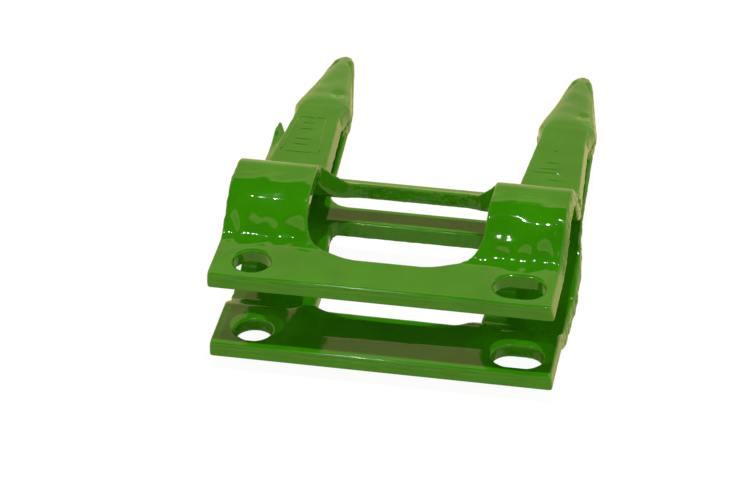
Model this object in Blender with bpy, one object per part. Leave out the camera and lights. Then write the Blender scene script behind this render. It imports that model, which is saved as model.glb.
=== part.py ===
"""Double-finger knife guard for a harvester's cutter bar.

Two halves are pressed from thick steel plate. Each half has a bolting flange at the back, two arms,
a crossbar and two fingers. The halves meet only at the two tapered tips, where four weld seams hold
them together. The cutter bar sits between the flanges, and the knife slides in the slot between the
upper and lower fingers.

Axes: X across the guard, Y forward towards the tips, Z up. The origin lies midway between the two
bolt holes, on the top face of the lower flange. Sizes are in millimetres until MM scales them.
"""
import math

import bmesh
import bpy
from mathutils import Vector

MM = 0.001

# Driving dimensions
PITCH = 76.2            # from finger to finger, and from bolt hole to bolt hole
WIDTH = 98.6            # across the flanges
PLATE = 4.6             # thickness of the pressed plate
SEAT_GAP = 19.0         # clear height between the two flanges
HOLE_SETBACK = 9.1      # from the flange's rear edge to the bolt holes
HOLE_DIAMETER = 11.5
SLOT_LENGTH = 15.5      # end to end, on the right-hand hole of each flange
SEAM_Z = 9.7            # height of the weld seam at the tips
JOINT_GAP = 0.3         # clearance that keeps touching pieces apart
TIP_BASE_Y = 94.0       # where the tips begin
TIP_LENGTH = 46.5
FINGER_END_Y = 100.0    # the pressed plate runs this far into the tip
ARC_STEP = math.radians(9)
LOWEST, HIGHEST = -20.0, 45.0   # every cutter that runs right through spans these heights

# Side profile of each half's top face as (y, z, bend radius), from the rear edge forward
UPPER_PROFILE = [
    (-HOLE_SETBACK, SEAT_GAP + PLATE, 0),
    (10.2, SEAT_GAP + PLATE, 6),
    (22.0, SEAT_GAP + PLATE + 10.7, 14),
    (37.6, SEAT_GAP + PLATE + 11.0, 9),
    (47.6, 21.4, 7),
    (60.5, 17.3, 14),
    (FINGER_END_Y, 15.8, 0),
]
LOWER_PROFILE = [
    (-HOLE_SETBACK, 0.0, 0),
    (12.4, 0.0, 7),
    (19.6, -4.5, 6),
    (35.6, -4.5, 7),
    (46.6, 7.4, 7),
    (FINGER_END_Y, 8.4, 0),
]

# Plan of the windows between the arms: corners as (x, y, radius), right-hand side only
UPPER_WINDOW = [(12.0, 5.3, 14), (25.4, 11.6, 10), (26.2, 39.5, 8), (18.0, 48.4, 8)]
LOWER_WINDOW = [(24.2, 10.1, 8), (25.0, 48.2, 2.5)]
UPPER_CROSSBAR_FRONT = 53.2
LOWER_CROSSBAR_FRONT = 56.8
UPPER_CROSSBAR_BEND = 4.5
LOWER_CROSSBAR_BEND = 6.0
UPPER_CROSSBAR_OVERLAP = 0.6    # the crossbar's forward corners run this far past the fingers' sides
ROOT_BULGE = 1.2                # the lower arms stand out this far beyond the flange at the crossbar

# Right-hand edge of each half as (x, y, radius), from the rear corner to the root of the finger
UPPER_EDGE = [(WIDTH / 2, -HOLE_SETBACK, 0.8), (WIDTH / 2, 50.0, 12)]
LOWER_EDGE = [(WIDTH / 2, -HOLE_SETBACK, 0.8), (WIDTH / 2, 18.0, 12), (WIDTH / 2 + ROOT_BULGE, 46.0, 14)]

# Heights between which the sides of each half lean inwards, from its wide face to its narrow one
UPPER_SIDES = (11.0, 17.0)
LOWER_SIDES = (3.8, 8.4)

# Sides of a finger as (y, distance from its own axis), on the wide face at the knife slot
UPPER_FINGER = [(64.0, 10.2), (94.0, 8.0), (FINGER_END_Y, 7.6)]
LOWER_FINGER = [(60.0, 10.7), (98.2, 9.0), (94.8, 8.1), (FINGER_END_Y, 7.6)]
LOWER_WING = [(57.0, 13.0), (66.0, 15.4), (102.0, 13.5), (91.5, 9.4), (95.5, 7.9), (FINGER_END_Y, 7.6)]
UPPER_DRAFT = 1.4       # the top face of an upper finger is this much narrower on each side
LOWER_DRAFT = 1.0       # and so is the bottom face of a lower finger

# Sections of a tip as (distance from its base, half-width, half-height, squareness). Near the base
# they stand higher than the plate, whose outer faces cut them down to a flat with an arched end.
TIP_SECTIONS = [
    (0.0, 7.8, 6.9, 5.0),
    (4.0, 8.2, 6.6, 4.6),
    (8.0, 8.9, 6.15, 4.2),
    (12.0, 8.5, 5.7, 3.8),
    (17.0, 7.6, 5.0, 3.4),
    (23.0, 6.5, 4.2, 3.0),
    (30.5, 5.2, 3.3, 2.7),
    (37.5, 4.0, 2.4, 2.4),
    (42.5, 2.9, 1.6, 2.2),
    (45.3, 1.8, 1.0, 2.0),
    (TIP_LENGTH, 0.7, 0.4, 2.0),
]
TIP_INSET = 0.05        # the cut-down faces lie this far inside the plate's, never exactly on them
TIP_LEAN = {"left": 0.2, "right": 0.4}   # sideways drift of the nose, towards +X
SECTION_POINTS = 40
WELD_RADIUS = 1.3
WELD_INSET = 1.1        # from the tip's side to the middle of the weld
WELD_SPAN = (13.0, 40.0)


def make_collection(name):
    collection = bpy.data.collections.new(name)
    bpy.context.scene.collection.children.link(collection)
    return collection


def make_material(name, color, roughness, metallic):
    material = bpy.data.materials.new(name)
    material.use_nodes = True
    shader = material.node_tree.nodes["Principled BSDF"]
    shader.inputs["Base Color"].default_value = (*color, 1.0)
    shader.inputs["Roughness"].default_value = roughness
    shader.inputs["Metallic"].default_value = metallic
    return material


def fillet(corners, closed):
    """Rounds each (x, y, radius) corner of a path with an arc, and returns plain (x, y) points."""
    points = []
    count = len(corners)
    for i, (x, y, radius) in enumerate(corners):
        corner = Vector((x, y))
        is_end = not closed and i in (0, count - 1)
        if is_end or radius == 0:
            points.append(corner)
            continue
        to_before = (Vector(corners[i - 1][:2]) - corner).normalized()
        to_after = (Vector(corners[(i + 1) % count][:2]) - corner).normalized()
        opening = to_before.angle(to_after)
        reach = radius / math.tan(opening / 2)
        centre = corner + (to_before + to_after).normalized() * (radius / math.sin(opening / 2))
        start = corner + to_before * reach - centre
        sweep = math.pi - opening
        turn = math.copysign(1, to_after.cross(to_before))
        steps = max(2, math.ceil(sweep / ARC_STEP))
        for k in range(steps + 1):
            angle = turn * sweep * k / steps
            cos, sin = math.cos(angle), math.sin(angle)
            points.append(centre + Vector((start.x * cos - start.y * sin, start.x * sin + start.y * cos)))
    return points


def thicken(path, thickness):
    """Turns an open path into a band that lies below it, and returns the band's outline."""
    below = []
    for i, point in enumerate(path):
        ahead = path[min(i + 1, len(path) - 1)]
        behind = path[max(i - 1, 0)]
        along = (ahead - behind).normalized()
        below.append(point + Vector((along.y, -along.x)) * thickness)
    return path + below[::-1]


def loft(name, rings, collection):
    """Skins closed rings of matching points, and caps both ends."""
    mesh = bmesh.new()
    rows = [[mesh.verts.new(Vector(point) * MM) for point in ring] for ring in rings]
    for row, next_row in zip(rows, rows[1:]):
        for i in range(len(row)):
            j = (i + 1) % len(row)
            mesh.faces.new((row[i], row[j], next_row[j], next_row[i]))
    mesh.faces.new(rows[0][::-1])
    mesh.faces.new(rows[-1])
    bmesh.ops.recalc_face_normals(mesh, faces=mesh.faces)
    data = bpy.data.meshes.new(name)
    mesh.to_mesh(data)
    mesh.free()
    piece = bpy.data.objects.new(name, data)
    collection.objects.link(piece)
    return piece


def as_cutter(piece):
    piece.hide_render = True
    piece.display_type = "WIRE"
    return piece


def boolean(piece, other, operation):
    modifier = piece.modifiers.new(f"{operation.lower()}_{other.name}", "BOOLEAN")
    modifier.operation = operation
    modifier.solver = "EXACT"
    modifier.object = other


def plan_cutter(name, outline, low, high):
    rings = [[(x, y, z) for x, y in outline] for z in (low, high)]
    return as_cutter(loft(name, rings, cutters))


def drafted_plan(name, low_outline, high_outline, draft_low, draft_high):
    """A tall plan cutter whose outline changes from one to the other between two heights."""
    levels = ((LOWEST, low_outline), (draft_low, low_outline), (draft_high, high_outline),
              (HIGHEST, high_outline))
    rings = [[(x, y, z) for x, y in outline] for z, outline in levels]
    return as_cutter(loft(name, rings, cutters))


def mirror_corners(corners):
    """Completes a right-hand list of corners with its mirror image, as one closed ring."""
    return corners + [(-x, y, radius) for x, y, radius in reversed(corners)]


def bolt_hole_outline(centre_x, length):
    """A round hole, or a slot along X when its length is more than its width."""
    radius = HOLE_DIAMETER / 2
    reach = (length - HOLE_DIAMETER) / 2
    steps = 14
    points = []
    for side in (1, -1):
        for k in range(steps + 1):
            angle = -math.pi / 2 + math.pi * k / steps
            points.append((centre_x + side * (reach + radius * math.cos(angle)),
                           side * radius * math.sin(angle)))
        if reach == 0:
            points.pop()
    return points


def cut_bolt_holes(half, name):
    for side, length in ((-1, HOLE_DIAMETER), (1, SLOT_LENGTH)):
        outline = bolt_hole_outline(side * PITCH / 2, length)
        boolean(half, plan_cutter(f"{name}_bolt_hole_{side:+d}", outline, LOWEST, HIGHEST),
                "DIFFERENCE")


def half_plate(name, profile, window, outlines):
    """One pressed half without its tips: side profile, plan outline, window and bolt holes."""
    band = thicken(fillet(profile, closed=False), PLATE)
    rings = [[(x, y, z) for y, z in band] for x in (-WIDTH, WIDTH)]
    half = loft(name, rings, parts)
    boolean(half, drafted_plan(f"{name}_plan", *outlines), "INTERSECT")
    ring = fillet(mirror_corners(window), closed=True)
    boolean(half, plan_cutter(f"{name}_window", ring, LOWEST, HIGHEST), "DIFFERENCE")
    cut_bolt_holes(half, name)
    return half


def upper_outline(draft):
    """Plan of the upper half, with the fingers drawn in by the draft."""
    axis = PITCH / 2
    outer = [(axis + reach - draft, y, 0) for y, reach in UPPER_FINGER]
    inner = [(axis - reach + draft, y, 0) for y, reach in reversed(UPPER_FINGER)]
    bar_end = axis - UPPER_FINGER[0][1] - UPPER_CROSSBAR_OVERLAP + draft
    right = UPPER_EDGE + outer + inner + [(bar_end, UPPER_CROSSBAR_FRONT, UPPER_CROSSBAR_BEND)]
    return fillet(mirror_corners(right), closed=True)


def finger_side(axis, outward, sides, draft):
    """One side of a finger as (x, y, radius) corners, from its root to its tip."""
    return [(axis + outward * (reach - draft), y, 0) for y, reach in sides]


def lower_outline(draft):
    """Plan of the lower half, whose left-hand finger carries the wing on its outer side."""
    axis = PITCH / 2
    right_outer = finger_side(axis, 1, LOWER_FINGER, draft)
    right_inner = finger_side(axis, -1, LOWER_FINGER, draft)[::-1]
    left_inner = finger_side(-axis, 1, LOWER_FINGER, draft)
    left_outer = finger_side(-axis, -1, LOWER_WING, draft)[::-1]
    corners = LOWER_EDGE + right_outer + right_inner
    corners += [(right_inner[-1][0], LOWER_CROSSBAR_FRONT, LOWER_CROSSBAR_BEND),
                (left_inner[0][0], LOWER_CROSSBAR_FRONT, LOWER_CROSSBAR_BEND)]
    corners += left_inner + left_outer + [(-x, y, radius) for x, y, radius in reversed(LOWER_EDGE)]
    return fillet(corners, closed=True)


def tip_section(side, distance, half_width, half_height, squareness):
    """A rounded-square section of a tip, standing across the finger's axis."""
    axis = PITCH / 2 if side == "right" else -PITCH / 2
    centre_x = axis + TIP_LEAN[side] * (distance / TIP_LENGTH)
    ring = []
    for k in range(SECTION_POINTS):
        angle = 2 * math.pi * (k + 0.5) / SECTION_POINTS
        cos, sin = math.cos(angle), math.sin(angle)
        x = math.copysign(abs(cos) ** (2 / squareness), cos) * half_width
        z = math.copysign(abs(sin) ** (2 / squareness), sin) * half_height
        ring.append((centre_x + x, TIP_BASE_Y + distance, SEAM_Z + z))
    return ring


def tip_body(name, side):
    return as_cutter(loft(name, [tip_section(side, *row) for row in TIP_SECTIONS], cutters))


def tip_room(name, profile, offset, seam_z):
    """The wedge between the seam and the plate's outer face, which a tip is cut to."""
    (y0, z0, _), (y1, z1, _) = profile[-2:]
    start, end = TIP_BASE_Y - 5, TIP_BASE_Y + TIP_LENGTH + 5
    slope = (z1 - z0) / (y1 - y0)
    outer = [(y, z0 + slope * (y - y0) + offset) for y in (end, start)]
    section = [(start, seam_z), (end, seam_z)] + outer
    rings = [[(x, y, z) for y, z in section] for x in (-WIDTH, WIDTH)]
    return as_cutter(loft(name, rings, cutters))


def tip_side(side, edge, distance, inset):
    """A point on the seam line, inset from the tip's side face."""
    stations = [(row[0], row[1]) for row in TIP_SECTIONS]
    for (before, width_before), (after, width_after) in zip(stations, stations[1:]):
        if before <= distance <= after:
            share = (distance - before) / (after - before)
            half_width = width_before + (width_after - width_before) * share
    axis = PITCH / 2 if side == "right" else -PITCH / 2
    outward = 1 if (side == "right") == (edge == "outer") else -1
    centre_x = axis + TIP_LEAN[side] * (distance / TIP_LENGTH)
    return (centre_x + outward * (half_width - inset), TIP_BASE_Y + distance, SEAM_Z)


def weld_tube(name, side, edge, radius, extra_length, collection):
    """A round bead along one side of a tip, made as a tube and welded closed."""
    start, end = WELD_SPAN[0] - extra_length, WELD_SPAN[1] + extra_length
    steps = 8
    curve = bpy.data.curves.new(name, "CURVE")
    curve.dimensions = "3D"
    curve.bevel_depth = radius * MM
    curve.bevel_resolution = 2
    curve.use_fill_caps = True
    spline = curve.splines.new("POLY")
    spline.points.add(steps)
    for k, point in enumerate(spline.points):
        distance = start + (end - start) * k / steps
        point.co = (*(Vector(tip_side(side, edge, distance, WELD_INSET)) * MM), 1.0)
    guide = bpy.data.objects.new(f"{name}_guide", curve)
    collection.objects.link(guide)
    evaluated = guide.evaluated_get(bpy.context.evaluated_depsgraph_get())
    data = bpy.data.meshes.new_from_object(evaluated)
    data.name = name
    mesh = bmesh.new()
    mesh.from_mesh(data)
    bmesh.ops.remove_doubles(mesh, verts=mesh.verts, dist=0.00001)
    bmesh.ops.recalc_face_normals(mesh, faces=mesh.faces)
    mesh.to_mesh(data)
    mesh.free()
    tube = bpy.data.objects.new(name, data)
    tube.matrix_world = guide.matrix_world
    collection.objects.link(tube)
    bpy.data.objects.remove(guide)
    return tube


for scene_object in list(bpy.data.objects):
    bpy.data.objects.remove(scene_object)
parts = make_collection("double_knife_guard")
cutters = make_collection("cutters")
enamel = make_material("green_enamel", (0.07, 0.22, 0.02), 0.18, 0.0)
weld_enamel = make_material("weld_enamel", (0.07, 0.2, 0.025), 0.25, 0.0)

upper = half_plate("upper_half", UPPER_PROFILE, UPPER_WINDOW,
                   (upper_outline(0.0), upper_outline(UPPER_DRAFT), *UPPER_SIDES))
lower = half_plate("lower_half", LOWER_PROFILE, LOWER_WINDOW,
                   (lower_outline(LOWER_DRAFT), lower_outline(0.0), *LOWER_SIDES))
tip_cuts = ((upper, UPPER_PROFILE, -TIP_INSET, SEAM_Z + JOINT_GAP / 2),
            (lower, LOWER_PROFILE, TIP_INSET - PLATE, SEAM_Z - JOINT_GAP / 2))
for half, profile, offset, seam_z in tip_cuts:
    room = tip_room(f"{half.name}_tip_room", profile, offset, seam_z)
    for side in ("left", "right"):
        body = tip_body(f"{half.name}_{side}_tip", side)
        boolean(body, room, "INTERSECT")
        boolean(half, body, "UNION")
for side in ("left", "right"):
    for edge in ("outer", "inner"):
        weld = weld_tube(f"{side}_tip_{edge}_weld", side, edge, WELD_RADIUS, 0.0, parts)
        weld.data.materials.append(weld_enamel)
        channel = as_cutter(weld_tube(f"{side}_tip_{edge}_channel", side, edge,
                                      WELD_RADIUS + JOINT_GAP, JOINT_GAP, cutters))
        for half in (upper, lower):
            boolean(half, channel, "DIFFERENCE")
for half in (upper, lower):
    half.data.materials.append(enamel)
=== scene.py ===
"""Looks for the double-finger knife guard: glossy green enamel over thick pressed plate.

The two CAD halves are copied, meshed evenly and shaped: paint rounds every edge, the humps carry
press dents, the sheared faces are torn, and dressed weld beads cover the seams of the tips.
Sizes are in millimetres until MM scales them, in the frame's own axes: X across, Y forward, Z up.
A pair named ..._FADE says where a change begins and where it is complete.
"""
import math

import bmesh
import bpy
import numpy as np
from mathutils import Matrix, Vector, noise


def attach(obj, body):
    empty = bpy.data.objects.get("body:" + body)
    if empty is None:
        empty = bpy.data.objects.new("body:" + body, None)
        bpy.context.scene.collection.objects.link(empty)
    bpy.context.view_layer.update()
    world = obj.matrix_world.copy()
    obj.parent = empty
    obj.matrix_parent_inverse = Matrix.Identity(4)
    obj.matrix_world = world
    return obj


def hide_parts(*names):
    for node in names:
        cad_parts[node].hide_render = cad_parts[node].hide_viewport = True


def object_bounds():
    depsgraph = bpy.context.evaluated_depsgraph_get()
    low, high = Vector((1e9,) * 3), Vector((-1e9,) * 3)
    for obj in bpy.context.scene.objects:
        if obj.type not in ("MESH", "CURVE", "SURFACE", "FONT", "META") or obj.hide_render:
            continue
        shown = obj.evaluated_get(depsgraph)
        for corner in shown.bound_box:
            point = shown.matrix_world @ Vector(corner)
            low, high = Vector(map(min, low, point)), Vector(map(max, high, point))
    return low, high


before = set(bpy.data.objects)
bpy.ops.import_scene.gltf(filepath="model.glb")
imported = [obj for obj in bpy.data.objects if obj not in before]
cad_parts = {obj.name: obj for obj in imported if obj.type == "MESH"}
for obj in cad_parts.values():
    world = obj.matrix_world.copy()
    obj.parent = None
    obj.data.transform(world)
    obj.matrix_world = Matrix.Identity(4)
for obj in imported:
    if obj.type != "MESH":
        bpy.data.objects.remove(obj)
CAD_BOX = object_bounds()

MM = 0.001
PITCH = 76.2                        # finger to finger, and bolt hole to bolt hole
AXES = {"left": -PITCH / 2, "right": PITCH / 2}
PLATE = 4.6                         # thickness of both halves
SEAM_Z = 9.7                        # where the two halves meet in the tips
NOISE_RANGE = 1.6                   # brings the noise to about -1 to 1
SEED_STEP = (17.3, 5.7, 11.1)       # how far apart two seeds lie in it

# Meshing of the painted halves, and the smoothing that rounds them
VOXEL = 0.36
EDGE_PASSES = 3                     # rounds every sheared edge
NOSE_SPARED = 0.75                  # the share of that rounding which the noses don't get
NOSE_FADE = (128.5, 137.5)          # y
RIM_PASSES = 4                      # rounds the upper rims of the bolt holes further
RIM_FADE = (0.8, 1.6)               # beyond the wall of a hole
TOP_FADES = {"upper": (21.0, 22.5), "lower": (-2.6, -1.1)}      # z in the thickness of a flange
ROLLOVER_PASSES = 9                 # rounds the top of the flanges' rear edge
ROLLOVER_FADE = (-7.9, -6.9)        # y

# The bolt holes: the left one is round, and the right one is a slot
HOLE_RADIUS = 5.75
SLOT_TRAVEL = 2.0                   # from the middle of the slot to the middle of either end
PAINT_BUILD_UP = 0.35               # on the walls of the holes
PAINT_FADE = (0.4, 1.4)             # beyond the wall
FLANGE_FRONT = 8                    # y, between the holes and the humps
DISH_DEPTH, DISH_REACH = 0.25, 3.0  # the sunk ring that piercing leaves round a hole

# The humps of the upper half: where the marks of the press lie, and the normal of the rear wall
MARKED, MARKED_BLEND = (9.0, 28.0), 2.5         # y
HUMP_INNER_X = 20
WALL_NORMAL = np.array((0.0, -0.67, 0.742))
FOOT_FADE = (11.0, 15.0)            # y, where the wall's crumpled foot ends
CREST_FADE = (21.0, 24.0)           # y, where the rippled crest begins
RIPPLE_SIZE, RIPPLE_HEIGHT = 6.5, 0.36
RIPPLE_STRETCH = (1, 0.6, 1)        # ripples are longer along Y
CRUMPLE_SIZE, CRUMPLE_HEIGHT = 3.6, 0.11
DENT_POWER = 1.4                    # 1 gives a bell-shaped dent, and more gives it a flatter floor
# Press dents as (x, y, radius across, radius along, height), hollow where the height is negative
DENTS = [
    (-42.8, 19.4, 3.2, 3.0, 0.30), (-34.0, 20.0, 4.5, 4.0, -0.42), (-25.4, 20.0, 3.6, 4.0, 0.25),
    (-45.4, 15.8, 1.6, 2.6, 0.20), (-36.6, 12.6, 3.0, 3.0, -0.72), (-41.0, 12.8, 2.0, 2.6, -0.50),
    (-29.2, 12.8, 4.0, 2.8, -0.74), (-24.6, 11.0, 1.8, 1.4, 0.30), (-46.8, 12.4, 2.0, 3.2, -0.60),
    (41.6, 18.6, 3.2, 3.0, 0.30), (31.6, 18.0, 4.2, 2.6, -0.62), (47.2, 17.6, 2.0, 3.2, -0.50),
    (43.5, 12.6, 2.8, 2.8, -0.72), (30.8, 12.0, 3.0, 2.0, -0.50), (37.6, 12.2, 2.4, 2.4, -0.55),
    (26.2, 12.0, 1.8, 2.2, 0.30), (47.8, 12.0, 1.6, 2.2, -0.45),
]

# Sheared faces: how far a face must look backwards or sideways, as part of its normal, to be torn
BACK_FADE, SIDEWAYS_FADE = (0.4, 0.8), (0.5, 0.9)
TEAR_STRETCH = (1, 1, 0.45)         # tears are longer up and down the face
FINER_SIZE, FINER_DEPTH = 0.4, 0.5  # a second layer of tears, as shares of the first
CROSSBAR_BEHIND, CROSSBAR_AHEAD, CROSSBAR_BLEND = 1.2, 0.9, 0.6     # y, about its rear face
CROSSBAR_END_BLEND = 3              # x, beyond the window's half-width
CROSSBAR_TEAR_SIZE, CROSSBAR_TEAR_DIRECTION = 1.8, (0, 1, 0.3)
ARM_OUTER_X = 44
ARM_TORN, ARM_TORN_BLEND = (14, 60), 5          # y
ARM_TEAR_SIZE, ARM_TEAR_DEPTH = 2.4, 0.16
# Long grooves across the flanges' rear edges, as (below the flange's top, share of the depth)
SHEAR_LINES = [(1.1, 1.0), (2.4, 0.5), (3.3, 0.4)]
SHEAR_LINE_DEPTH, SHEAR_LINE_WIDTH = 0.4, 0.4
SHEAR_LINE_WAVER, SHEAR_LINE_WAVER_SIZE, SHEAR_LINE_BREAK_SIZE = 0.25, 11.0, 7.0
REAR_EDGE_Y = -8.5
# The right-hand side, which shearing leaves leaning
SIDE_FADE, SIDE_FRONT_FADE = (45.0, 48.6), (50, 60)             # x, y
SIDE_ROW = 0.5                      # the top edge is looked up in rows this long along Y

# The lower flange turns up a little towards its window, from a slightly skew and wavering line
LIP_START, LIP_SKEW = 0.2, 0.03     # y of the line in the middle, and its slope
LIP_WAVER, LIP_WAVER_SIZE = 0.16, 4.0
LIP_RISE = math.tan(math.radians(8))
LIP_SIDE_FADE, LIP_FRONT_FADE = (25, 32), (10, 20)  # x, y

# The wing beside the left finger, from the finger's axis outwards
WING_START, WING_BOTTOM, WING_SLOPE = 10.6, 3.6, 0.85
WING_ALONG, WING_BLEND = (60, 86), 10               # y
WING_DEEPEST = 3.6                  # the most that its top falls

# The tips: where they start and end, and half their width along the way
TIP_START, TIP_END = 94.0, 140.5
TIP_HALF_WIDTHS = [(94.0, 7.8), (98.0, 8.2), (102.0, 8.9), (106.0, 8.5), (111.0, 7.6), (117.0, 6.5),
                   (124.5, 5.2), (131.5, 4.0), (136.5, 2.9), (139.3, 1.8), (140.5, 0.7)]
TIP_LEAN = {"left": 0.2, "right": 0.4}              # towards the right, at the very end
GROUND_FADE = (104, 110)            # y
GRIND_SIZE, GRIND_DEPTH = 6.0, 0.10
PITS = [(-34.6, 109.0), (42.4, 109.0)]              # (x, y) on top of the noses
PIT_DEPTH, PIT_ACROSS, PIT_ALONG = 0.55, 1.6, 2.0
SEAM_FADE = (0.6, 1.6)              # above or below the seam, where these marks begin
SEAM_SLACK = 0.45                   # the facing skins of the tips lie within this of the seam
SEAM_START = 95.5                   # y
SEAM_GAP = 0.02                     # what is left of it on each side

# The weld bead on each side of a tip
BEAD_START, BEAD_END = 97.0, TIP_END - 1.3
BEAD_RUN_IN, BEAD_RUN_OUT = 3, 6    # lengths over which it swells and dies away
BEAD_HALF_WIDTH, BEAD_HALF_HEIGHT = 1.6, 1.85
BEAD_END_WIDTH, BEAD_END_HEIGHT = 0.4, 0.35         # share of those at its ends
BEAD_SUNK = 0.80                    # how much of its half-width lies inside the tip
BEAD_STEPS = 70
BEAD_RIPPLE, BEAD_RIPPLE_PITCH = 0.05, 1.7
BEAD_UNEVEN, BEAD_UNEVEN_SIZE = 0.12, 3.2
BEADS_APART = 9                     # in the noise, from the finger's axis

# Raised strips on the finger tops, each from one (x, y) to another, x from the finger's own axis
FINGER_TOP = ((60.5, 17.3), (100.0, 15.8))          # (y, z) of the top face at its two ends
FRAME = [(-6.6, 70.2), (-5.2, 91.8), (3.2, 91.8), (5.2, 70.2)]
RELIEFS = {
    "left": list(zip(FRAME, FRAME[1:] + FRAME[:1])) + [
        ((-3.6, 88.4), (0.6, 88.4)), ((-3.6, 84.5), (0.8, 84.5)), ((-3.8, 78.3), (1.5, 78.3)),
        ((-3.8, 74.8), (1.0, 74.8))],
    "right": [((-2.0, 84.8), (-0.4, 84.8)), ((-3.1, 77.5), (1.2, 77.5)), ((-5.5, 73.7), (2.6, 73.7)),
              ((-6.5, 71.4), (2.6, 71.4)), ((-2.0, 67.3), (3.5, 67.3))],
}
RELIEF_HALF_WIDTH, RELIEF_HALF_HEIGHT, RELIEF_SUNK = 0.42, 0.24, 0.05
RELIEF_STEPS = 9                    # points along a strip
RELIEF_END, RELIEF_SWELL = 0.4475, 2.6      # share of its size at an end, and its growth from there


def smoothstep(value, low, high):
    """0 below low and 1 above high, easing from one to the other."""
    share = np.clip((value - low) / (high - low), 0.0, 1.0)
    return share * share * (3 - 2 * share)


def band(value, low, high, blend):
    """1 between low and high, easing to 0 over the blend on both sides."""
    return smoothstep(value, low - blend, low) * (1 - smoothstep(value, high, high + blend))


def wobble(points, size, seed):
    """Smooth noise from -1 to 1 with features of about that size, at each point."""
    shift = Vector([seed * step for step in SEED_STEP])
    return np.array([noise.noise(Vector(point) / size + shift) for point in points]) * NOISE_RANGE


def across_only(x):
    """Points on the X axis, for noise that varies only across the part."""
    return np.column_stack((x, 0 * x, 0 * x))


def taper(share, at_end):
    """Grows from the size at an end to 1 as the share goes from 0 to 1."""
    return at_end + (1 - at_end) * share


class Shape:
    """The vertices of an evenly meshed object in millimetres, for shaping in code."""

    def __init__(self, piece):
        self.mesh = piece.data
        count = len(self.mesh.vertices)
        flat = np.empty(count * 3)
        self.mesh.vertices.foreach_get("co", flat)
        self.points = flat.reshape(-1, 3) / MM
        ends = np.empty(len(self.mesh.edges) * 2, dtype=np.int64)
        self.mesh.edges.foreach_get("vertices", ends)
        self.a, self.b = ends.reshape(-1, 2).T
        self.degree = np.bincount(ends, minlength=count)

    def mean_of_neighbours(self):
        total = np.empty_like(self.points)
        for k in range(3):
            column = self.points[:, k]
            total[:, k] = (np.bincount(self.a, column[self.b], len(column))
                           + np.bincount(self.b, column[self.a], len(column)))
        return total / self.degree[:, None]

    def smooth(self, passes, weight):
        """Draws each vertex towards the middle of its neighbours, by its own weight from 0 to 1."""
        for _ in range(passes):
            self.points += (self.mean_of_neighbours() - self.points) * (0.5 * weight)[:, None]

    def normals(self):
        """The normal at each vertex, of the shape as it is now."""
        self.store()
        flat = np.empty(len(self.points) * 3)
        self.mesh.vertices.foreach_get("normal", flat)
        return flat.reshape(-1, 3)

    def store(self):
        """Gives the mesh the shape."""
        self.mesh.vertices.foreach_set("co", (self.points * MM).ravel())
        self.mesh.update()


def painted_copy(name, node):
    """A fine, evenly meshed copy of a CAD half."""
    copy = bpy.data.objects.new(name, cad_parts[node].data.copy())
    bpy.context.scene.collection.objects.link(copy)
    remesh = copy.modifiers.new("even_mesh", "REMESH")
    remesh.mode = "VOXEL"
    remesh.voxel_size = VOXEL * MM
    depsgraph = bpy.context.evaluated_depsgraph_get()
    mesh = bpy.data.meshes.new_from_object(copy.evaluated_get(depsgraph))
    copy.modifiers.clear()
    copy.data = mesh
    mesh.polygons.foreach_set("use_smooth", [True] * len(mesh.polygons))
    return copy


def round_edges(shape, top_fade):
    """The paint's soft edges, with rounder upper rims at the holes and along the rear edge."""
    x, y, z = shape.points.T
    shape.smooth(EDGE_PASSES, 1 - NOSE_SPARED * smoothstep(y, *NOSE_FADE))
    from_axis = np.abs(np.abs(x) - PITCH / 2)
    to_hole = np.hypot(np.maximum(from_axis - SLOT_TRAVEL, 0), y) - HOLE_RADIUS
    near_top = smoothstep(z, *top_fade)
    shape.smooth(RIM_PASSES, (1 - smoothstep(to_hole, *RIM_FADE)) * near_top)
    shape.smooth(ROLLOVER_PASSES, near_top * (1 - smoothstep(y, *ROLLOVER_FADE)))
    z -= DISH_DEPTH * np.exp(-(np.maximum(to_hole, 0) / DISH_REACH) ** 2) * near_top


def fill_holes(shape):
    """Paint builds up in the bolt holes and draws their walls in a little."""
    x, y = shape.points.T[:2]
    from_axis = x - np.sign(x) * PITCH / 2
    travel = np.where(x > 0, SLOT_TRAVEL, 0.0)
    off_centre = from_axis - np.clip(from_axis, -travel, travel)
    distance = np.maximum(np.hypot(off_centre, y), 0.1)     # never 0, which couldn't be divided by
    near = (1 - smoothstep(distance - HOLE_RADIUS, *PAINT_FADE)) * (y < FLANGE_FRONT)
    inwards = near * PAINT_BUILD_UP / distance
    shape.points[:, 0] -= inwards * off_centre
    shape.points[:, 1] -= inwards * y


def press_marks(shape):
    """Dents and ripples that the press leaves on the humps, through the whole thickness."""
    x, y = shape.points.T[:2]
    marked = band(y, *MARKED, MARKED_BLEND) * (np.abs(x) > HUMP_INNER_X)
    height = np.zeros(len(x))
    for centre_x, centre_y, across, along, depth in DENTS:
        reach = ((x - centre_x) / across) ** 2 + ((y - centre_y) / along) ** 2
        height += depth * np.exp(-reach ** DENT_POWER)
    near = marked > 0
    flat_points = np.column_stack((x, y, np.zeros(len(x))))[near]
    on_foot = 1 - smoothstep(y[near], *FOOT_FADE)
    on_crest = smoothstep(y[near], *CREST_FADE)
    ripples = wobble(flat_points * RIPPLE_STRETCH, RIPPLE_SIZE, seed=3) * RIPPLE_HEIGHT * on_crest
    crumple = wobble(flat_points, CRUMPLE_SIZE, seed=5) * CRUMPLE_HEIGHT * on_foot
    height[near] += ripples + crumple
    shape.points += (height * marked)[:, None] * WALL_NORMAL


def tear(shape, where, direction, size, depth, seed):
    """Breaks up a sheared face: the vertices chosen move in and out along the direction."""
    chosen = np.flatnonzero(where > 0.01)
    points = shape.points[chosen]
    torn = wobble(points * TEAR_STRETCH, size, seed)
    torn += FINER_DEPTH * wobble(points, size * FINER_SIZE, seed + 1)
    shape.points[chosen] += (torn * depth * where[chosen])[:, None] * np.array(direction)


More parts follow.
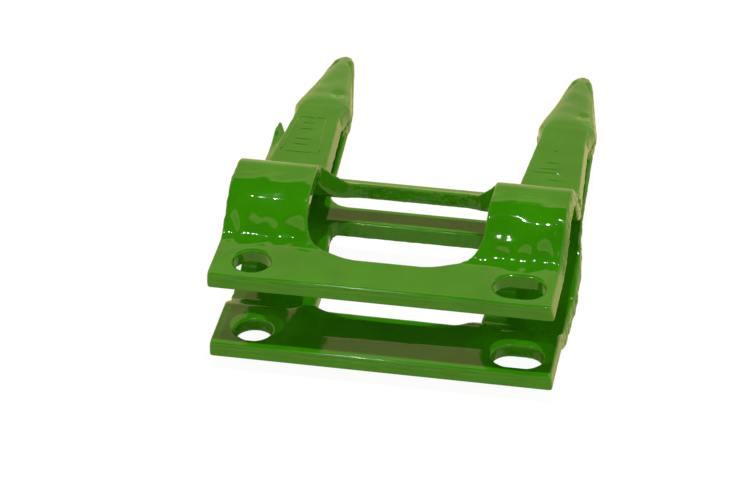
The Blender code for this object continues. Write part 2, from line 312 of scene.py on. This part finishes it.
def shear_faces(shape, flange_top, crossbar_y, window_half_width, depth, seed):
    """Tears on the crossbar's rear face and the arms' outer sides, and grooves on the rear edge."""
    x, y, z = shape.points.T
    normals = shape.normals()
    facing_back = smoothstep(-normals[:, 1], *BACK_FADE)
    bar = band(y, crossbar_y - CROSSBAR_BEHIND, crossbar_y + CROSSBAR_AHEAD, CROSSBAR_BLEND)
    bar *= band(np.abs(x), 0, window_half_width, CROSSBAR_END_BLEND)
    tear(shape, facing_back * bar, CROSSBAR_TEAR_DIRECTION, CROSSBAR_TEAR_SIZE, depth, seed)
    rear_face = facing_back * (y < REAR_EDGE_Y)
    waver = SHEAR_LINE_WAVER * wobble(across_only(x), SHEAR_LINE_WAVER_SIZE, seed + 5)
    for below_top, depth_share in SHEAR_LINES:
        strength = 0.6 + 0.6 * wobble(across_only(x), SHEAR_LINE_BREAK_SIZE, seed + below_top)
        groove = np.exp(-((z - (flange_top - below_top + waver)) / SHEAR_LINE_WIDTH) ** 2)
        shape.points[:, 1] += SHEAR_LINE_DEPTH * depth_share * groove * np.clip(strength, 0, 1) * rear_face
    outer = smoothstep(np.abs(normals[:, 0]), *SIDEWAYS_FADE)
    outer *= (np.abs(x) > ARM_OUTER_X) * band(y, *ARM_TORN, ARM_TORN_BLEND)
    tear(shape, outer * (x > 0), (1, 0, 0), ARM_TEAR_SIZE, ARM_TEAR_DEPTH, seed + 2)
    tear(shape, outer * (x < 0), (-1, 0, 0), ARM_TEAR_SIZE, ARM_TEAR_DEPTH, seed + 3)


def window_lip(shape):
    """The lower flange turns up a little towards its window, with a wavering start."""
    x, y, z = shape.points.T
    start = LIP_START + LIP_SKEW * x + LIP_WAVER * wobble(across_only(x), LIP_WAVER_SIZE, seed=8)
    reach = (1 - smoothstep(np.abs(x), *LIP_SIDE_FADE)) * (1 - smoothstep(y, *LIP_FRONT_FADE))
    z += np.maximum(y - start, 0) * LIP_RISE * reach


def lean_side(shape, lean):
    """Shearing leaves the right-hand side leaning: its top edge lies further in than its bottom one."""
    x, y, z = shape.points.T
    outer = smoothstep(x, *SIDE_FADE) * (1 - smoothstep(y, *SIDE_FRONT_FADE))
    row = np.round((y - y.min()) / SIDE_ROW).astype(int)
    top_at = np.full(row.max() + 1, -np.inf)
    np.maximum.at(top_at, row[outer > 0.5], z[outer > 0.5])
    chosen = np.flatnonzero((outer > 0) & np.isfinite(top_at[row]))
    share = np.clip(1 - (top_at[row[chosen]] - z[chosen]) / PLATE, 0, 1)
    x[chosen] -= lean * share * outer[chosen]


def slope_wing(shape):
    """The wing beside the left finger is bevelled: its top falls away to a thin outer edge."""
    x, y, z = shape.points.T
    beyond = np.maximum(AXES["left"] - x - WING_START, 0) * band(y, *WING_ALONG, WING_BLEND)
    share = np.clip((z - WING_BOTTOM) / PLATE, 0, 1)
    z -= np.minimum(beyond * WING_SLOPE, WING_DEEPEST) * share


def tip_marks(shape, pits):
    """Grinding hollows on the noses, and a small pit at each place given."""
    x, y, z = shape.points.T
    nose = smoothstep(y, *GROUND_FADE)
    chosen = np.flatnonzero(nose > 0)
    height = np.zeros(len(x))
    height[chosen] = wobble(shape.points[chosen], GRIND_SIZE, seed=13) * GRIND_DEPTH * nose[chosen]
    for pit_x, pit_y in pits:
        height -= PIT_DEPTH * np.exp(-((x - pit_x) / PIT_ACROSS) ** 2 - ((y - pit_y) / PIT_ALONG) ** 2)
    z += height * np.sign(z - SEAM_Z) * smoothstep(np.abs(z - SEAM_Z), *SEAM_FADE)


def close_seam(shape, facing):
    """Brings the faces that meet in the tips together, so that no light shows between them."""
    y, z = shape.points.T[1:]
    meets = (np.abs(z - SEAM_Z) < SEAM_SLACK) & (y > SEAM_START)
    z[meets] = SEAM_Z - facing * SEAM_GAP


def tube(mesh, path, radii, section_points=14):
    """A closed tube along a path, with an (across, up) radius at each point; X is across."""
    rings = []
    for i, point in enumerate(path):
        ahead = Vector(path[min(i + 1, len(path) - 1)]) - Vector(path[max(i - 1, 0)])
        across = ahead.cross(Vector((0, 0, 1))).normalized()
        up = across.cross(ahead).normalized()
        ring = []
        for k in range(section_points):
            angle = 2 * math.pi * k / section_points
            offset = across * (radii[i][0] * math.cos(angle)) + up * (radii[i][1] * math.sin(angle))
            ring.append(mesh.verts.new((Vector(point) + offset) * MM))
        rings.append(ring)
    for ring, next_ring in zip(rings, rings[1:]):
        for k in range(section_points):
            j = (k + 1) % section_points
            mesh.faces.new((ring[k], ring[j], next_ring[j], next_ring[k]))
    mesh.faces.new(rings[0][::-1])
    mesh.faces.new(rings[-1])


def finish_mesh(name, mesh):
    """A smooth-shaded object from a mesh in the making."""
    bmesh.ops.recalc_face_normals(mesh, faces=mesh.faces)
    data = bpy.data.meshes.new(name)
    mesh.to_mesh(data)
    mesh.free()
    data.polygons.foreach_set("use_smooth", [True] * len(data.polygons))
    piece = bpy.data.objects.new(name, data)
    bpy.context.scene.collection.objects.link(piece)
    return piece


def tip_side(side, outward, y):
    """Where the seam comes out on one side of a tip, as x."""
    ys, half_widths = zip(*TIP_HALF_WIDTHS)
    lean = TIP_LEAN[side] * (y - TIP_START) / (TIP_END - TIP_START)
    return AXES[side] + lean + outward * np.interp(y, ys, half_widths)


def weld_bead(name, side, outward):
    """A dressed weld over the seam: a low rounded ridge with faint ripples, from root to nose."""
    path, radii = [], []
    place = AXES[side] + outward * BEADS_APART
    for y in np.linspace(BEAD_START, BEAD_END, BEAD_STEPS):
        ends = min(smoothstep(y, BEAD_START, BEAD_START + BEAD_RUN_IN),
                   smoothstep(TIP_END - y, 0, BEAD_RUN_OUT))
        ripple = BEAD_RIPPLE * math.sin(2 * math.pi * y / BEAD_RIPPLE_PITCH)
        ripple += BEAD_UNEVEN * noise.noise(Vector((place, y / BEAD_UNEVEN_SIZE, 0)))
        up = taper(ends, BEAD_END_HEIGHT) * BEAD_HALF_HEIGHT * (1 + ripple)
        across = taper(ends, BEAD_END_WIDTH) * BEAD_HALF_WIDTH * (1 + ripple)
        path.append((tip_side(side, outward, y) - outward * across * BEAD_SUNK, y, SEAM_Z))
        radii.append((across, up))
    mesh = bmesh.new()
    tube(mesh, path, radii)
    return finish_mesh(name, mesh)


def finger_top(y):
    """The height of a finger's top face at this y."""
    (y0, z0), (y1, z1) = FINGER_TOP
    return z0 + (z1 - z0) * (y - y0) / (y1 - y0)


def finger_relief(name, side, strips):
    """Low raised strips on the finger's top face, each from one (x, y) to another."""
    mesh = bmesh.new()
    for start, end in strips:
        path, radii = [], []
        for share in np.linspace(0, 1, RELIEF_STEPS):
            x = AXES[side] + start[0] + (end[0] - start[0]) * share
            y = start[1] + (end[1] - start[1]) * share
            thickness = min(1.0, RELIEF_END + RELIEF_SWELL * min(share, 1 - share))
            path.append((x, y, finger_top(y) - RELIEF_SUNK))
            radii.append((RELIEF_HALF_WIDTH * thickness, RELIEF_HALF_HEIGHT * thickness))
        tube(mesh, path, radii, section_points=10)
    return finish_mesh(name, mesh)


def enamel(name, color):
    """Glossy enamel with slight orange peel, clouded a little in its tint and its gloss."""
    material = bpy.data.materials.new(name)
    material.use_nodes = True
    nodes, links = material.node_tree.nodes, material.node_tree.links
    shader = nodes["Principled BSDF"]
    coordinates = nodes.new("ShaderNodeTexCoord")
    cloud = nodes.new("ShaderNodeTexNoise")
    cloud.inputs["Scale"].default_value = 90
    cloud.inputs["Detail"].default_value = 4
    links.new(coordinates.outputs["Object"], cloud.inputs["Vector"])
    tint = nodes.new("ShaderNodeValToRGB")
    for element, position, brightness in zip(tint.color_ramp.elements, (0.35, 0.7), (0.9, 1.08)):
        element.position = position
        element.color = (*(channel * brightness for channel in color), 1)
    links.new(cloud.outputs["Fac"], tint.inputs["Fac"])
    links.new(tint.outputs["Color"], shader.inputs["Base Color"])
    peel = nodes.new("ShaderNodeTexNoise")
    peel.inputs["Scale"].default_value = 420
    peel.inputs["Detail"].default_value = 2
    links.new(coordinates.outputs["Object"], peel.inputs["Vector"])
    bump = nodes.new("ShaderNodeBump")
    bump.inputs["Strength"].default_value = 0.5
    bump.inputs["Distance"].default_value = 0.00004
    links.new(peel.outputs["Fac"], bump.inputs["Height"])
    links.new(bump.outputs["Normal"], shader.inputs["Normal"])
    gloss = nodes.new("ShaderNodeMapRange")
    gloss.inputs["To Min"].default_value = 0.04
    gloss.inputs["To Max"].default_value = 0.10
    links.new(cloud.outputs["Fac"], gloss.inputs["Value"])
    links.new(gloss.outputs["Result"], shader.inputs["Roughness"])
    return material


def upper_half_painted():
    """The upper half under its paint."""
    half = painted_copy("upper_half_painted", "upper_half")
    shape = Shape(half)
    round_edges(shape, TOP_FADES["upper"])
    fill_holes(shape)
    press_marks(shape)
    lean_side(shape, lean=1.3)
    shear_faces(shape, flange_top=23.6, crossbar_y=48.4, window_half_width=17, depth=0.15, seed=21)
    tip_marks(shape, PITS)
    close_seam(shape, facing=-1)
    shape.store()
    return half


def lower_half_painted():
    """The lower half under its paint."""
    half = painted_copy("lower_half_painted", "lower_half")
    shape = Shape(half)
    round_edges(shape, TOP_FADES["lower"])
    fill_holes(shape)
    window_lip(shape)
    slope_wing(shape)
    lean_side(shape, lean=0.6)
    shear_faces(shape, flange_top=0.0, crossbar_y=48.2, window_half_width=22, depth=0.07, seed=31)
    tip_marks(shape, [])
    close_seam(shape, facing=1)
    shape.store()
    return half


green = enamel("green_enamel_paint", (0.025, 0.21, 0.0004))
upper = upper_half_painted()
lower = lower_half_painted()
for half, node in ((upper, "upper_half"), (lower, "lower_half")):
    half.data.materials.clear()
    half.data.materials.append(green)
    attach(half, "root")
    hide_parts(node)

for side in ("left", "right"):
    for edge in ("outer", "inner"):
        outward = 1 if (side == "right") == (edge == "outer") else -1
        bead = weld_bead(f"{side}_tip_{edge}_bead", side, outward)
        bead.data.materials.append(green)
        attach(bead, "root")
        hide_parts(f"{side}_tip_{edge}_weld")
    relief = finger_relief(f"{side}_finger_relief", side, RELIEFS[side])
    relief.data.materials.append(green)
    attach(relief, "root")

# ---- Studio: a pale floor, a warm bright belt round it, and three small lamps overhead ----
FLOOR_Z = CAD_BOX[0][2]
FLOOR_REACH = 3                     # metres from the middle to each side
BELT = [(0.0, (1.25, 0.98, 0.55)), (0.26, (0.95, 0.75, 0.42)), (0.54, (0.78, 0.56, 0.27)),
        (0.70, (1.45, 0.98, 0.55)), (0.73, (0.02, 0.02, 0.018))]    # (sine of the elevation, colour)
LAMP_COLOR = (1, 0.97, 0.86)
CORE_SIZE, HALO_SIZE = 0.02, 0.05   # diameters in metres
CORE_DISTANCE, HALO_DISTANCE = 1.19, 1.2            # metres from the origin


def floor_paper():
    """White to the camera, and a warmer tone in what the enamel mirrors."""
    paper = bpy.data.materials.new("floor_paper")
    paper.use_nodes = True
    nodes, links = paper.node_tree.nodes, paper.node_tree.links
    seen = nodes["Principled BSDF"]
    seen.inputs["Base Color"].default_value = (0.07, 0.073, 0.09, 1)
    seen.inputs["Roughness"].default_value = 1.0
    seen.inputs["Specular IOR Level"].default_value = 0.0
    seen.inputs["Emission Color"].default_value = (1, 1, 1, 1)
    seen.inputs["Emission Strength"].default_value = 0.95
    bounced = nodes.new("ShaderNodeBsdfDiffuse")
    bounced.inputs["Color"].default_value = (0.84, 0.77, 0.47, 1)
    path = nodes.new("ShaderNodeLightPath")
    choose = nodes.new("ShaderNodeMixShader")
    links.new(path.outputs["Is Camera Ray"], choose.inputs["Fac"])
    links.new(bounced.outputs["BSDF"], choose.inputs[1])
    links.new(seen.outputs["BSDF"], choose.inputs[2])
    links.new(choose.outputs["Shader"], nodes["Material Output"].inputs["Surface"])
    return paper


def studio_world():
    """The belt as a ramp over the elevation, dark above."""
    world = bpy.data.worlds.new("studio")
    world.use_nodes = True
    nodes, links = world.node_tree.nodes, world.node_tree.links
    coordinates = nodes.new("ShaderNodeTexCoord")
    split = nodes.new("ShaderNodeSeparateXYZ")
    links.new(coordinates.outputs["Generated"], split.inputs["Vector"])
    ramp = nodes.new("ShaderNodeValToRGB")
    while len(ramp.color_ramp.elements) < len(BELT):
        ramp.color_ramp.elements.new(1.0)
    for element, (height, color) in zip(ramp.color_ramp.elements, BELT):
        element.position = height
        element.color = (*color, 1)
    links.new(split.outputs["Z"], ramp.inputs["Fac"])
    links.new(ramp.outputs["Color"], nodes["Background"].inputs["Color"])
    nodes["Background"].inputs["Strength"].default_value = 1.0
    return world


def lamp(name, toward, core_power, halo_power):
    """A small bright disc in front of a larger, dimmer one, like a bulb in its diffuser."""
    direction = Vector(toward).normalized()
    for part, size, power, distance in (("core", CORE_SIZE, core_power, CORE_DISTANCE),
                                        ("halo", HALO_SIZE, halo_power, HALO_DISTANCE)):
        light = bpy.data.lights.new(f"{name}_{part}", "AREA")
        light.shape = "DISK"
        light.size = size
        light.energy = power
        light.color = LAMP_COLOR
        disc = bpy.data.objects.new(f"{name}_{part}", light)
        bpy.context.scene.collection.objects.link(disc)
        disc.location = direction * distance
        disc.rotation_euler = direction.to_track_quat("Z", "Y").to_euler()


corners = [(x * FLOOR_REACH, y * FLOOR_REACH, FLOOR_Z) for x, y in ((-1, -1), (1, -1), (1, 1), (-1, 1))]
floor_mesh = bpy.data.meshes.new("floor")
floor_mesh.from_pydata(corners, [], [(0, 1, 2, 3)])
floor_mesh.materials.append(floor_paper())
floor = bpy.data.objects.new("floor", floor_mesh)
bpy.context.scene.collection.objects.link(floor)
bpy.context.scene.world = studio_world()
lamp("key_lamp", (0.07, -0.12, 0.985), core_power=6.6, halo_power=0.3)
lamp("front_lamp", (-0.16, -0.12, 0.975), core_power=2.4, halo_power=0.3)
lamp("side_lamp", (0.40, -0.10, 0.91), core_power=0.9, halo_power=0.05)

# ---- Camera ----
AZIMUTH, ELEVATION, ROLL = (math.radians(angle) for angle in (10.781, 33.220, -0.386))
TARGET = Vector((-9.56, 20.9, 19.24)) * MM
DISTANCE = 918.7 * MM
SENSOR_WIDTH, FOCAL_LENGTH = 36, 157.97
back = Vector((math.sin(AZIMUTH) * math.cos(ELEVATION), -math.cos(AZIMUTH) * math.cos(ELEVATION),
               math.sin(ELEVATION)))
camera_data = bpy.data.cameras.new("camera")
camera_data.sensor_width = SENSOR_WIDTH
camera_data.lens = FOCAL_LENGTH
camera_data.clip_start = 0.01
camera = bpy.data.objects.new("camera", camera_data)
bpy.context.scene.collection.objects.link(camera)
turn = (-back).to_track_quat("-Z", "Y").to_matrix() @ Matrix.Rotation(ROLL, 3, "Z")
camera.matrix_world = Matrix.Translation(TARGET + back * DISTANCE) @ turn.to_4x4()
bpy.context.scene.camera = camera
bpy.context.scene.view_settings.view_transform = "Standard"
